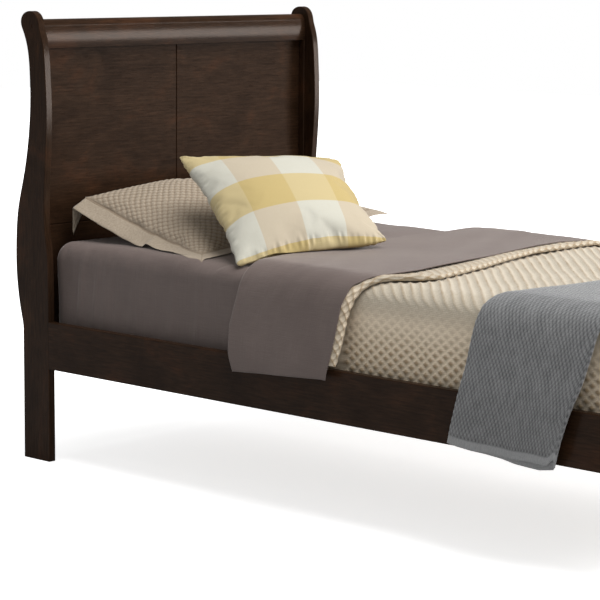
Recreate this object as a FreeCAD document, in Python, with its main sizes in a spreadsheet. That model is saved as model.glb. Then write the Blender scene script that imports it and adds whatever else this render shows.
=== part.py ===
import FreeCAD, Part
import math
import os
import re
from FreeCAD import Rotation, Vector

# A twin sleigh bed, made up. The headboard end is +Y, the foot end is -Y and X runs across the bed.
# The origin is on the floor under the middle. "Depth" is measured outwards, away from the mattress,
# from the face where an end's posts meet the side rails.

SIZES = {
    "bed_width": 1080,
    "rail_length": 1860,
    "rail_height": 127,
    "rail_bottom": 252,
    "board": 22,
    "edge_round": 2,
    "head_height": 1200,
    "foot_height": 610,
    "foot_share": 0.85,
    "leg_depth": 101,
    "head_leg": 350,
    "foot_leg": 240,
    "scroll_drop": 83,
    "panel_depth": 60,
    "panel_thickness": 5,
    "panel_top_drop": 98,
    "groove": 2.5,
    "batten_depth": 20,
    "batten_thickness": 6,
    "batten_bottom": 385,
    "head_rail_bottom": 300,
    "head_rail_top": 630,
    "foot_rail_top": 380,
    "plug_radius": 5,
    "plug_height": 1.2,
    "cleat_width": 25,
    "cleat_height": 38,
    "cleat_top": 306,
    "cleat_inset": 70,
    "slat_count": 12,
    "slat_width": 70,
    "slat_thickness": 19,
    "slat_gap": 2,
    "plate": 3,
    "hook_length": 60,
    "hook_height": 90,
    "hook_bottom": 276,
    "hook_reach": 16,
    "hook_tab": 22,
    "socket_depth": 42,
    "screw_radius": 2,
    "screw_head": 4.2,
    "clearance": 0.3,
    "elbow_rise": 20,
    "mattress_width": 990,
    "mattress_length": 1905,
    "mattress_thickness": 254,
    "mattress_round": 45,
    "mattress_gap": 29,
    "sheet": 1.5,
    "coverlet": 8,
    "coverlet_head": 283,
    "coverlet_foot": -945,
    "coverlet_hem": 345,
    "fold_head": 290,
    "fold_foot": -165,
    "fold_hem": 352,
    "fold_stand_off": 10,
    "throw": 12,
    "throw_head": -500,
    "throw_foot": -815,
    "throw_hem": 262,
    "throw_stand_off": 1,
    "sham_width": 730,
    "sham_length": 545,
    "sham_thickness": 130,
    "sham_tilt": 9,
    "accent_side": 440,
    "accent_thickness": 140,
}

doc = FreeCAD.newDocument("sleigh_bed")
sheet = doc.addObject("Spreadsheet::Sheet", "Sizes")
for row, (alias, number) in enumerate(SIZES.items(), start=1):
    sheet.set(f"A{row}", alias)
    sheet.set(f"B{row}", str(number))
    sheet.setAlias(f"B{row}", alias)
doc.recompute()

ALIAS = re.compile(r"\b(" + "|".join(SIZES) + r")\b")
sub_parts = []


def size(alias):
    """A driving dimension, read back from the spreadsheet."""
    return float(sheet.get(alias))


def bind(piece, setting, formula):
    """Tie a property to the spreadsheet; the formula names sizes by their aliases."""
    piece.setExpression(setting, ALIAS.sub(r"Sizes.\g<1>", formula))


def name_it(piece, label):
    """Label a finished sub-part and put it on the list of nodes to export."""
    piece.Label = label
    sub_parts.append(piece)
    return piece


def place(piece, x, y, z):
    """Bind a sub-part's position to three formulas."""
    bind(piece, "Placement.Base.x", x)
    bind(piece, "Placement.Base.y", y)
    bind(piece, "Placement.Base.z", z)


# ---- Boards: a box, with its long edges eased -------------------------------------------


def box(label, sizes, corner):
    """A Part::Box whose sides and lowest corner are formulas."""
    piece = doc.addObject("Part::Box", label + "_box")
    for setting, formula in zip(("Length", "Width", "Height"), sizes):
        bind(piece, setting, formula)
    place(piece, *corner)
    doc.recompute()
    return piece


def edges_where(shape, wanted):
    """The numbers of the shape's edges that pass a test on their middle and direction."""
    found = []
    for number, edge in enumerate(shape.Edges, start=1):
        start, end = edge.Vertexes[0].Point, edge.Vertexes[-1].Point
        if wanted((start + end) * 0.5, end - start):
            found.append(number)
    return found


def eased(label, base, kind, radius, wanted):
    """Round (Part::Fillet) or bevel (Part::Chamfer) the chosen edges of a box."""
    piece = doc.addObject("Part::" + kind, label)
    piece.Base = base
    piece.Edges = [(number, radius, radius) for number in edges_where(base.Shape, wanted)]
    doc.recompute()
    return name_it(piece, label)


def board(label, sizes, corner, along):
    """A board whose four long edges, the ones along an axis, are rounded."""
    axis = {"x": Vector(1, 0, 0), "y": Vector(0, 1, 0), "z": Vector(0, 0, 1)}[along]
    base = box(label, sizes, corner)
    return eased(label, base, "Fillet", size("edge_round"), lambda _, way: way.cross(axis).Length < 1e-6)


# ---- Ends: posts, rolls and panels ------------------------------------------------------

# The S of a post behind and in front, as (depth, share of the way from the leg to the neck).
# The foot's posts are short, so their S has fewer points; it reaches as deep as the head's.
HEAD_BACK = [(106, 0.04), (119, 0.12), (126.8, 0.22), (126.4, 0.31), (118, 0.42), (94, 0.54)]
HEAD_BACK += [(74, 0.67), (65.3, 0.8), (66, 0.89)]
HEAD_FRONT = [(11, 0.35), (14, 0.45), (9.5, 0.56), (3, 0.68), (1.5, 0.79), (5.5, 0.9)]
FOOT_BACK = [(110, 0.08), (135.3, 0.26), (132.3, 0.42), (98, 0.58), (74, 0.76), (67, 0.88)]
FOOT_FRONT = [(6, 0.35), (12, 0.5), (8, 0.64), (5, 0.8)]
FRONT_LEG_SHARE = 0.15

# The scroll, from the neck over the lip and the crown to the throat: (depth, drop from the top).
SCROLL = [(78, 83), (91, 52), (98, 36), (98.5, 24), (91, 10), (78, 2.5), (62, 0.2), (48, 4)]
SCROLL += [(37, 13), (31, 24), (28, 35), (25.5, 46), (20, 62)]
SCROLL_MIDDLE_DROP = 39


def origin_plane(body, role):
    """One of a body's own origin planes, found by its role."""
    return next(plane for plane in body.Origin.OriginFeatures if plane.Role == role)


def sketched_body(label, role, edges):
    """A PartDesign body with one closed sketch on an origin plane."""
    body = doc.addObject("PartDesign::Body", label)
    sketch = body.newObject("Sketcher::SketchObject", label + "_outline")
    sketch.AttachmentSupport = [(origin_plane(body, role), "")]
    sketch.MapMode = "FlatFace"
    for edge in edges:
        sketch.addGeometry(edge, False)
    return body, sketch


def pad(body, sketch, length, midplane=False):
    """Pad the body's sketch by a formula."""
    feature = body.newObject("PartDesign::Pad", sketch.Name + "_pad")
    feature.Profile = sketch
    feature.Midplane = midplane
    bind(feature, "Length", length)
    doc.recompute()
    return feature


def flat(point):
    return Vector(point[0], point[1], 0)


def line(start, end):
    return Part.LineSegment(flat(start), flat(end))


def arc(points):
    """An arc through three points."""
    return Part.Arc(*[flat(point) for point in points])


def post_edges(height, leg, share, back_curve, front_curve):
    """A post's outline as (depth, height); share shrinks the scroll and the swing of the S."""
    leg_depth = size("leg_depth")
    neck = height - size("scroll_drop") * share
    points = [(leg_depth, leg)]
    for depth, part in back_curve:
        points.append((depth * share + (1 - share) * leg_depth * (1 - part), leg + part * (neck - leg)))
    for depth, drop in SCROLL:
        points.append((depth * share, height - drop * share))
    for depth, part in reversed(front_curve):
        points.append((depth * share, leg + part * (neck - leg)))
    points.append((0, leg + FRONT_LEG_SHARE * (neck - leg)))
    outline = Part.BSplineCurve()
    outline.interpolate(
        Points=[flat(point) for point in points],
        InitialTangent=Vector(0, 1, 0),
        FinalTangent=Vector(0, -1, 0),
    )
    return [
        outline,
        line(points[-1], (0, 0)),
        line((0, 0), (leg_depth, 0)),
        line((leg_depth, 0), points[0]),
    ]


def post(label, x, end):
    """An S-shaped post; end is 1 at the head and -1 at the foot."""
    if end > 0:
        edges = post_edges(size("head_height"), size("head_leg"), 1, HEAD_BACK, HEAD_FRONT)
    else:
        share = size("foot_share")
        edges = post_edges(size("foot_height"), size("foot_leg"), share, FOOT_BACK, FOOT_FRONT)
    body, sketch = sketched_body(label, "YZ_Plane", edges)
    feature = pad(body, sketch, "board")
    faces = [face for face in feature.Shape.Faces if abs(face.normalAt(0, 0).x) > 0.99]
    rims = [edge for face in faces for edge in face.Edges if edge.BoundBox.ZMax > 1]
    names = []
    for number, edge in enumerate(feature.Shape.Edges, start=1):
        if any(edge.isSame(rim) for rim in rims):
            names.append(f"Edge{number}")
    ease = body.newObject("PartDesign::Fillet", label + "_ease")
    ease.Base = (feature, names)
    bind(ease, "Radius", "edge_round")
    if end < 0:
        body.Placement.Rotation = Rotation(Vector(0, 0, 1), 180)
    place(body, x, f"{end} * rail_length / 2", "0")
    doc.recompute()
    return name_it(body, label)


# The roll between the posts, as (depth, drop below the top of the posts).
ROLL_FRONT = [(43.7, 98), (40.8, 66), (45, 40)]
ROLL_BROW = [(45, 40), (51.5, 26.5), (65, 22)]
ROLL_TOP = [(65, 22), (80, 29), (86, 48)]
ROLL_BACK = [(86, 48), (81, 74), (68, 90)]
ROLL_HEEL = (65, 98)


def roll(label, height, share, end):
    """The rounded top moulding, from post to post."""
    edges = []
    for points in (ROLL_FRONT, ROLL_BROW, ROLL_TOP, ROLL_BACK):
        edges.append(arc([(depth * share, height - drop * share) for depth, drop in points]))
    heel = (ROLL_HEEL[0] * share, height - ROLL_HEEL[1] * share)
    back_end = (ROLL_BACK[-1][0] * share, height - ROLL_BACK[-1][1] * share)
    front_start = (ROLL_FRONT[0][0] * share, height - ROLL_FRONT[0][1] * share)
    edges += [line(back_end, heel), line(heel, front_start)]
    body, sketch = sketched_body(label, "YZ_Plane", edges)
    pad(body, sketch, "bed_width - 2 * board", midplane=True)
    if end < 0:
        body.Placement.Rotation = Rotation(Vector(0, 0, 1), 180)
    place(body, "0", f"{end} * rail_length / 2", "0")
    doc.recompute()
    return name_it(body, label)


def head_panel(label, side):
    """Half of the headboard's face, bevelled along the centre groove and the lower joint."""
    base = box(
        label,
        ("bed_width / 2 - board", "panel_thickness", "head_height - panel_top_drop - head_rail_top"),
        ("0" if side > 0 else "board - bed_width / 2", "rail_length / 2 + panel_depth", "head_rail_top"),
    )
    front = size("rail_length") / 2 + size("panel_depth")
    low = size("head_rail_top")

    def grooved(middle, _):
        return abs(middle.y - front) < 0.01 and (abs(middle.x) < 0.01 or abs(middle.z - low) < 0.01)

    return eased(label, base, "Chamfer", size("groove"), grooved)


def batten(label, side, end, bottom, top, depth):
    """A thin strip in the corner between a post and the panel."""
    inner = "bed_width / 2 - board - batten_thickness"
    x = inner if side > 0 else "board - bed_width / 2"
    y = f"rail_length / 2 + {depth} - batten_depth" if end > 0 else f"-rail_length / 2 - {depth}"
    return board(label, ("batten_thickness", "batten_depth", f"{top} - {bottom}"), (x, y, bottom), "z")


LEFT_X = "-bed_width / 2"
RIGHT_X = "bed_width / 2 - board"
# A foot post is turned half round, so its inner or outer face is on the other side of its origin.
LEFT_TURNED_X = "board - bed_width / 2"
RIGHT_TURNED_X = "bed_width / 2"
BETWEEN_POSTS = "bed_width - 2 * board"
FOOT_PANEL_DEPTH = "panel_depth * foot_share"
FOOT_PANEL_TOP = "foot_height - panel_top_drop * foot_share"

post("head_post_left", LEFT_X, 1)
post("head_post_right", RIGHT_X, 1)
roll("head_roll", size("head_height"), 1.0, 1)
head_panel("head_panel_left", -1)
head_panel("head_panel_right", 1)
board(
    "head_lower_rail",
    (BETWEEN_POSTS, "board", "head_rail_top - head_rail_bottom"),
    (LEFT_TURNED_X, "rail_length / 2 + panel_depth", "head_rail_bottom"),
    "x",
)
for side_name, side_sign in (("left", -1), ("right", 1)):
    batten(
        f"head_batten_{side_name}",
        side_sign,
        1,
        "batten_bottom",
        "head_height - panel_top_drop",
        "panel_depth",
    )

post("foot_post_left", LEFT_TURNED_X, -1)
post("foot_post_right", RIGHT_TURNED_X, -1)
roll("foot_roll", size("foot_height"), size("foot_share"), -1)
board(
    "foot_panel",
    (BETWEEN_POSTS, "panel_thickness", f"{FOOT_PANEL_TOP} - foot_rail_top"),
    (LEFT_TURNED_X, f"-rail_length / 2 - {FOOT_PANEL_DEPTH} - panel_thickness", "foot_rail_top"),
    "x",
)
board(
    "foot_lower_rail",
    (BETWEEN_POSTS, "board", "foot_rail_top - rail_bottom"),
    (LEFT_TURNED_X, f"-rail_length / 2 - {FOOT_PANEL_DEPTH} - board", "rail_bottom"),
    "x",
)
for side_name, side_sign in (("left", -1), ("right", 1)):
    batten(
        f"foot_batten_{side_name}",
        side_sign,
        -1,
        "batten_bottom",
        FOOT_PANEL_TOP,
        FOOT_PANEL_DEPTH,
    )

# ---- Side rails, slat cleats and slats --------------------------------------------------

for side_name, rail_x in (("left", LEFT_X), ("right", RIGHT_X)):
    board(
        f"side_rail_{side_name}",
        ("board", "rail_length", "rail_height"),
        (rail_x, "-rail_length / 2", "rail_bottom"),
        "y",
    )
for side_name, cleat_x in (
    ("left", "board - bed_width / 2"),
    ("right", "bed_width / 2 - board - cleat_width"),
):
    board(
        f"slat_cleat_{side_name}",
        ("cleat_width", "rail_length - 2 * cleat_inset", "cleat_height"),
        (cleat_x, "cleat_inset - rail_length / 2", "cleat_top - cleat_height"),
        "y",
    )

slat_count = int(size("slat_count"))
# From the first slat's middle to the last one's, 5 mm clear of the cleats' ends.
slat_run = "(rail_length - 2 * cleat_inset - slat_width - 10)"
slat_middles = []
for number in range(slat_count):
    share_along = number / (slat_count - 1) - 0.5
    slat = board(
        f"slat_{number + 1:02d}",
        (f"{BETWEEN_POSTS} - 2 * slat_gap", "slat_width", "slat_thickness"),
        (f"{LEFT_TURNED_X} + slat_gap", f"{share_along} * {slat_run} - slat_width / 2", "cleat_top"),
        "x",
    )
    slat_middles.append(slat.Shape.BoundBox.Center.y)

# ---- Rail hooks and their sockets -------------------------------------------------------


def rail_hook(label, side, end):
    """A steel plate on a rail's inner face, with two hooks that reach past the rail's end."""
    width, height, bottom = size("hook_length"), size("hook_height"), size("hook_bottom")
    reach, tab = size("hook_reach"), size("hook_tab")
    notch = tab / 2
    plate_end, tip = width, width + reach
    points = [(0, bottom), (plate_end, bottom)]
    for low in (bottom + tab / 2, bottom + height - 1.5 * tab):
        points += [(plate_end, low + notch), (tip - notch / 2, low + notch)]
        points += [(tip - notch / 2, low), (tip, low), (tip, low + tab), (plate_end, low + tab)]
    points += [(plate_end, bottom + height), (0, bottom + height)]
    edges = [line(start, stop) for start, stop in zip(points, points[1:] + points[:1])]
    body, sketch = sketched_body(label, "YZ_Plane", edges)
    pad(body, sketch, "plate", midplane=True)
    if end < 0:
        body.Placement.Rotation = Rotation(Vector(0, 0, 1), 180)
    x = f"{side} * (bed_width / 2 - board - plate / 2)"
    place(body, x, f"{end} * (rail_length / 2 - hook_length)", "0")
    doc.recompute()
    return name_it(body, label)


def hook_socket(label, side, end):
    """A pressed cup on the post's inner face, open towards the rail, that the hooks drop into."""
    x = "bed_width / 2 - board - 2 * plate" if side > 0 else "board - bed_width / 2"
    y = "rail_length / 2 + clearance" if end > 0 else "-rail_length / 2 - clearance - socket_depth"
    shell = box(
        label + "_shell",
        ("2 * plate", "socket_depth", "hook_height + 2 * plate"),
        (x, y, "hook_bottom - plate"),
    )
    hollow_x = "bed_width / 2 - board - plate - clearance" if side > 0 else "board - bed_width / 2"
    hollow_y = y if end > 0 else f"{y} + hook_reach / 2 + plate"
    hollow = box(
        label + "_hollow",
        ("plate + clearance", "socket_depth - hook_reach / 2 - plate", "hook_height"),
        (hollow_x, hollow_y, "hook_bottom"),
    )
    cup = doc.addObject("Part::Cut", label)
    cup.Base = shell
    cup.Tool = hollow
    doc.recompute()
    return name_it(cup, label)


ENDS = (("head", 1), ("foot", -1))
SIDES = (("left", -1), ("right", 1))
for end_name, end_sign in ENDS:
    for side_name, side_sign in SIDES:
        rail_hook(f"rail_hook_{end_name}_{side_name}", side_sign, end_sign)
        hook_socket(f"hook_socket_{end_name}_{side_name}", side_sign, end_sign)

# ---- Fasteners --------------------------------------------------------------------------


def screw(tip, way, length):
    """A countersunk wood screw whose head's face is at length along way from its tip."""
    radius, head = size("screw_radius"), size("screw_head")
    shank = Part.makeCylinder(radius, length - head + radius, tip, way)
    cone = Part.makeCone(radius, head, head - radius, tip + way * (length - head + radius), way)
    return shank.fuse(cone).removeSplitter()


def group(label, shapes):
    """Identical fasteners, as separate solids in one node."""
    piece = doc.addObject("Part::Feature", label)
    piece.Shape = Part.makeCompound(shapes)
    piece.Placement = FreeCAD.Placement()
    return name_it(piece, label)


inner_face = size("bed_width") / 2 - size("board")
slat_top = size("cleat_top") + size("slat_thickness")
SLAT_SCREW, CLEAT_SCREW, HOOK_SCREW = 35, 38, 18
# Where the screws sit, as shares: along a rail, down a cleat, up a hook plate and up a socket.
CLEAT_SCREW_SHARES = (-0.405, -0.243, -0.081, 0.081, 0.243, 0.405)
CLEAT_SCREW_DROP = 0.75
HOOK_SCREW_SHARES = (0.15, 0.5, 0.85)
HOOK_SCREW_INSET = 0.6
SOCKET_SCREW_SHARES = (0.25, 0.75)
SOCKET_SCREW_EDGE = 5.5
up = Vector(0, 0, 1)

slat_screws = []
for y in slat_middles:
    for sign in (-1, 1):
        x = sign * (inner_face - size("cleat_width") / 2)
        slat_screws.append(screw(Vector(x, y, slat_top - SLAT_SCREW), up, SLAT_SCREW))
group("slat_screws", slat_screws)

cleat_screws = []
cleat_screw_height = size("cleat_top") - CLEAT_SCREW_DROP * size("cleat_height")
for share_along in CLEAT_SCREW_SHARES:
    for sign in (-1, 1):
        head_x = sign * (inner_face - size("cleat_width"))
        y = share_along * size("rail_length")
        tip = Vector(head_x + sign * CLEAT_SCREW, y, cleat_screw_height)
        cleat_screws.append(screw(tip, Vector(-sign, 0, 0), CLEAT_SCREW))
group("slat_cleat_screws", cleat_screws)

hook_screws, socket_screws = [], []
hook_low = size("hook_bottom")
for _, end_sign in ENDS:
    for _, sign in SIDES:
        outwards = Vector(-sign, 0, 0)
        for share_up in HOOK_SCREW_SHARES:
            z = hook_low + share_up * size("hook_height")
            y = end_sign * (size("rail_length") / 2 - HOOK_SCREW_INSET * size("hook_length"))
            tip = Vector(sign * (inner_face - size("plate") + HOOK_SCREW), y, z)
            hook_screws.append(screw(tip, outwards, HOOK_SCREW))
        for share_up in SOCKET_SCREW_SHARES:
            z = hook_low + share_up * size("hook_height")
            y = end_sign * (size("rail_length") / 2 + size("socket_depth") - SOCKET_SCREW_EDGE)
            tip = Vector(sign * (inner_face - 2 * size("plate") + HOOK_SCREW), y, z)
            socket_screws.append(screw(tip, outwards, HOOK_SCREW))
group("rail_hook_screws", hook_screws)
group("hook_socket_screws", socket_screws)

plugs = []
for end_sign, height, share in (
    (1, size("head_height"), 1.0),
    (-1, size("foot_height"), size("foot_share")),
):
    for sign in (-1, 1):
        middle = Vector(
            sign * size("bed_width") / 2,
            end_sign * (size("rail_length") / 2 + size("panel_depth") * share),
            height - SCROLL_MIDDLE_DROP * share,
        )
        plugs.append(Part.makeCylinder(size("plug_radius"), size("plug_height"), middle, Vector(sign, 0, 0)))
group("scroll_plugs", plugs)

# ---- Mattress and bedding ---------------------------------------------------------------

MATTRESS_BOTTOM = "(cleat_top + slat_thickness + clearance)"
MATTRESS_TOP = f"({MATTRESS_BOTTOM} + mattress_thickness)"
SHEET_TOP = f"({MATTRESS_TOP} + sheet + clearance)"
COVERLET_TOP = f"({SHEET_TOP} + coverlet + clearance)"
mattress_bottom = size("cleat_top") + size("slat_thickness") + size("clearance")
mattress_top = mattress_bottom + size("mattress_thickness")

mattress_box = box(
    "mattress",
    ("mattress_width", "mattress_length", "mattress_thickness"),
    ("-mattress_width / 2", "rail_length / 2 + mattress_gap - mattress_length", MATTRESS_BOTTOM),
)
mattress = eased(
    "mattress",
    mattress_box,
    "Fillet",
    size("mattress_round"),
    lambda middle, _: middle.z > mattress_bottom + 1,
)

fitted_sheet = doc.addObject("Part::Thickness", "fitted_sheet")
underside = min(range(len(mattress.Shape.Faces)), key=lambda i: mattress.Shape.Faces[i].CenterOfMass.z)
fitted_sheet.Faces = (mattress, [f"Face{underside + 1}"])
bind(fitted_sheet, "Value", "sheet")
doc.recompute()
name_it(fitted_sheet, "fitted_sheet")


def draped(label, half_top, half_hem, top, hem, thickness, corner, head, foot):
    """A sheet of cloth over the mattress, hanging down both sides, as one padded section.

    half_top and half_hem are its inner half widths on the mattress and past the rails.
    """
    elbow = size("rail_bottom") + size("rail_height") + size("elbow_rise")

    def ring(grow):
        shoulder = (half_top - corner, top + grow)
        bend = (corner + grow) * math.sqrt(0.5)
        bulge = (half_top - corner + bend, top - corner + bend)
        side = (half_top + grow, top - corner)
        return [shoulder, bulge, side, (half_hem + grow, elbow), (half_hem + grow, hem)]

    inner, outer = ring(0), ring(thickness)
    edges = []
    for shoulder, bulge, side, knee, hem_point in (inner, outer):
        edges.append(line(shoulder, (-shoulder[0], shoulder[1])))
        for sign in (-1, 1):
            bend = [(sign * point[0], point[1]) for point in (shoulder, bulge, side)]
            edges.append(arc(bend))
            edges.append(line(bend[-1], (sign * knee[0], knee[1])))
            edges.append(line((sign * knee[0], knee[1]), (sign * hem_point[0], hem_point[1])))
    for sign in (-1, 1):
        edges.append(line((sign * inner[-1][0], hem), (sign * outer[-1][0], hem)))
    body, sketch = sketched_body(label, "XZ_Plane", edges)
    pad(body, sketch, f"{head} - ({foot})")
    place(body, "0", head, "0")
    doc.recompute()
    return name_it(body, label)


half_mattress = size("mattress_width") / 2 + size("sheet") + size("clearance")
sheet_top = mattress_top + size("sheet") + size("clearance")
coverlet_top = sheet_top + size("coverlet") + size("clearance")
outside_rail = size("bed_width") / 2 + 3 * size("clearance")
round_over = size("mattress_round") + size("sheet") + size("clearance")

draped(
    "coverlet",
    half_mattress,
    half_mattress,
    sheet_top,
    size("coverlet_hem"),
    size("coverlet"),
    round_over,
    "coverlet_head",
    "coverlet_foot",
)
draped(
    "top_sheet",
    half_mattress + size("coverlet") + size("clearance"),
    outside_rail + size("fold_stand_off"),
    coverlet_top,
    size("fold_hem"),
    2 * size("sheet"),
    round_over + size("coverlet"),
    "fold_head",
    "fold_foot",
)
draped(
    "throw_blanket",
    half_mattress + size("coverlet") + size("clearance"),
    outside_rail + size("throw_stand_off"),
    coverlet_top,
    size("throw_hem"),
    size("throw"),
    round_over + size("coverlet"),
    "throw_head",
    "throw_foot",
)


# A cushion's cross-sections, as (share of its thickness above the middle, share of its width).
CUSHION_SECTIONS = ((-0.5, 0.55), (-0.25, 0.86), (0.0, 1.0), (0.25, 0.86), (0.5, 0.55))


def cushion(label, width, length, thickness, middle, rotation):
    """A plain soft solid: widest half way up, drawn in towards its top and bottom."""
    sections = []
    for share_up, share_wide in CUSHION_SECTIONS:
        half_x, half_y = width * share_wide / 2, length * share_wide / 2
        z = thickness * share_up
        corners = [(-half_x, -half_y, z), (half_x, -half_y, z), (half_x, half_y, z), (-half_x, half_y, z)]
        sections.append(Part.makePolygon([Vector(*corner) for corner in corners + corners[:1]]))
    piece = doc.addObject("Part::Feature", label)
    piece.Shape = Part.makeLoft(sections, True, True)
    piece.Placement = FreeCAD.Placement(middle, rotation)
    return name_it(piece, label)


# The sham lies against the headboard; the accent pillow leans on it, turned to the near side.
head_face = size("rail_length") / 2
SHAM_MIDDLE = Vector(-60, head_face - 241, 671)
ACCENT_MIDDLE = Vector(-209, head_face - 559, 735)
ACCENT_WIDE_WAY = Vector(0.902, -0.429, 0.04)
ACCENT_LONG_WAY = Vector(0.372, 0.8, 0.47)
ACCENT_THICK_WAY = Vector(-0.234, -0.409, 0.881)
cushion(
    "sham_pillow",
    size("sham_width"),
    size("sham_length"),
    size("sham_thickness"),
    SHAM_MIDDLE,
    Rotation(Vector(1, 0, 0), size("sham_tilt")),
)
cushion(
    "accent_pillow",
    size("accent_side"),
    size("accent_side"),
    size("accent_thickness"),
    ACCENT_MIDDLE,
    Rotation(ACCENT_WIDE_WAY, ACCENT_LONG_WAY, ACCENT_THICK_WAY, "ZXY"),
)

# ---- Checks and export ------------------------------------------------------------------

doc.recompute()
for piece in doc.Objects:
    if {"Invalid", "Error"} & set(piece.State):
        raise RuntimeError(f"{piece.Label} failed: {piece.State}")
for piece in sub_parts:
    if piece.Shape.isNull() or not piece.Shape.isValid():
        raise RuntimeError(f"{piece.Label} has no valid shape")

os.makedirs("parts", exist_ok=True)
for piece in sub_parts:
    piece.Shape.exportStep(f"parts/{piece.Label}.step")
    extent = piece.Shape.BoundBox
    solids = len(piece.Shape.Solids)
    print(
        f"{piece.Label:26s} solids {solids:3d} volume {piece.Shape.Volume / 1e6:9.4f} l"
        f"  x {extent.XMin:8.1f} {extent.XMax:8.1f}  y {extent.YMin:8.1f} {extent.YMax:8.1f}"
        f"  z {extent.ZMin:7.1f} {extent.ZMax:7.1f}"
    )
print(len(sub_parts), "nodes")
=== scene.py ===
import math

import bmesh
import bpy
import numpy as np
from mathutils import Matrix, Vector


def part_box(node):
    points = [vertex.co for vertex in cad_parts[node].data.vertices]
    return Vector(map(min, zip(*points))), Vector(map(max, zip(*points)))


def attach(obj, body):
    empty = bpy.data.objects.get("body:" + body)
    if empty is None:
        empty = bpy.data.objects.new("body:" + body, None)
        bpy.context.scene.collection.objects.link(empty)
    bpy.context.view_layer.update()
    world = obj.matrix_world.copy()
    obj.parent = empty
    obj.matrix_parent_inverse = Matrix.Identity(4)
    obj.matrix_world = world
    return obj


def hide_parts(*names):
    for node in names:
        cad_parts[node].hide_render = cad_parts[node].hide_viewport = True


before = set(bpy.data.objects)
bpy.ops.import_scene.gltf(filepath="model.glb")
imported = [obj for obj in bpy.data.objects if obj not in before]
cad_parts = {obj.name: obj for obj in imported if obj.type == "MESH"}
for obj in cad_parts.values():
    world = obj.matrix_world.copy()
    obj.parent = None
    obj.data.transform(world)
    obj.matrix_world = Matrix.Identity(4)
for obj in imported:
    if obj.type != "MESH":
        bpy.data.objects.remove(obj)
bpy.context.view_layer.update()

# ---- sizes, in metres
# Ways across the bed: half of each, from the centre line to the hem, as (x, z).
TUCKED = [(0, 0.5955), (0.30, 0.5953), (0.430, 0.594), (0.470, 0.588), (0.496, 0.570),
          (0.5065, 0.542), (0.5085, 0.50), (0.5095, 0.44), (0.5095, 0.39), (0.5095, 0.30)]
HANGING = [(0, 0.5955), (0.30, 0.5953), (0.430, 0.594), (0.471, 0.588), (0.500, 0.570),
           (0.517, 0.540), (0.528, 0.50), (0.540, 0.44), (0.5485, 0.392), (0.5515, 0.35), (0.5515, 0.22)]
SHEET_TOP = 0.5840
PLUMP = 0.006                  # how far the fitted sheet rises under the pillows
SHEET_SIDE = 0.4990
SHEET_ENDS = (-0.9480, 0.9600)
MATTRESS_BOTTOM = 0.3255
PUFF = (0.030, 0.0335, 0.0245) # quilted diamond: along the bed, across its top, down its sides
PUFF_HIGH = 0.0052
FOOT_END = -0.940
EDGE_Y = -0.165                # where the coverlet's turned-back edge lies, on average
COVER_HEM = 0.322              # height of its hem, hidden behind the rail
COVER_FOLD = 0.0085            # the coverlet's turned-back layer, above its main layer
FOLD_LOW = -0.0065             # the flat sheet's lower layer, below the coverlet
FLAP_OUT = 0.0165              # the flat sheet's turned-down layer
THROW_WIDE, THROW_OUT = 0.325, 0.0165
LAYER = 0.0042                 # one thickness of the folded throw
ACCENT_SIZE = 0.450
COLUMNS = (0.244, -0.076)      # pitch of the check cushion's cream columns, and the middle of one
ROWS = (0.246, -0.030)         # the same for its yellow rows
SHAM_X, SHAM_Y = -0.068, 0.703
SHAM_SKEW = 0.034              # how far its front edge lies to the near side of its back edge

# Lines along the bed, as (distance from the centre line, y).
BAND_EDGE = [(-0.75, -0.070), (-0.69, -0.086), (-0.62, -0.108), (-0.56, -0.122), (-0.53, -0.136),
             (-0.50, -0.158), (-0.47, -0.200), (-0.44, -0.240), (-0.39, -0.258), (-0.286, -0.242),
             (-0.149, -0.214), (0.013, -0.172), (0.184, -0.136)]
FLAP_HEAD = [(-0.80, 0.205), (-0.755, 0.226), (-0.70, 0.248), (-0.64, 0.254), (-0.58, 0.246),
             (-0.50, 0.238), (-0.40, 0.232), (-0.28, 0.240), (-0.10, 0.262)]
FLAP_FREE = [(-0.80, -0.074), (-0.725, -0.080), (-0.685, -0.088), (-0.625, -0.094), (-0.56, -0.098),
             (-0.515, -0.110), (-0.50, -0.130), (-0.455, -0.164), (-0.355, -0.180), (-0.188, -0.167),
             (0.076, -0.127), (0.338, -0.101), (0.41, -0.118), (0.50, -0.11), (0.80, -0.09)]
THROW_MIDDLE = [(-0.823, -0.612), (-0.735, -0.632), (-0.65, -0.648), (-0.583, -0.653), (-0.54, -0.657),
                (-0.506, -0.663), (-0.472, -0.678), (-0.434, -0.704), (-0.313, -0.728), (-0.179, -0.741),
                (0.0, -0.749), (0.30, -0.745), (0.45, -0.735), (0.55, -0.72), (0.85, -0.70)]

# ---- light and camera
WARM = (1.0, 0.88, 0.80)
AMBIENT = 0.36                 # strength of the surroundings as a light
GLOSS = 0.22                   # their strength in reflections
LENS, SENSOR = 137.14, 36.0    # millimetres
EYE = Vector((-4.5484, -3.585, 1.3514))
TURN, DOWN, ROLL = math.radians(-47.96), math.radians(8.59), math.radians(0.46)


# ---- small tools
def noise(x, y, seed):
    """A smooth random field with one feature per unit, from -1 to 1."""
    table = np.random.default_rng(seed).uniform(-1, 1, (64, 64))
    x, y = np.broadcast_arrays(np.asarray(x, float), np.asarray(y, float))
    i, j = np.floor(x).astype(int), np.floor(y).astype(int)
    a, b = x - i, y - j
    a, b = a * a * (3 - 2 * a), b * b * (3 - 2 * b)
    left = table[i % 64, j % 64] * (1 - b) + table[i % 64, (j + 1) % 64] * b
    right = table[(i + 1) % 64, j % 64] * (1 - b) + table[(i + 1) % 64, (j + 1) % 64] * b
    return left * (1 - a) + right * a


def ease(x, start, end):
    """0 before start, 1 after end, smooth between."""
    t = np.clip((np.asarray(x, float) - start) / (end - start), 0, 1)
    return t * t * (3 - 2 * t)


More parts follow.
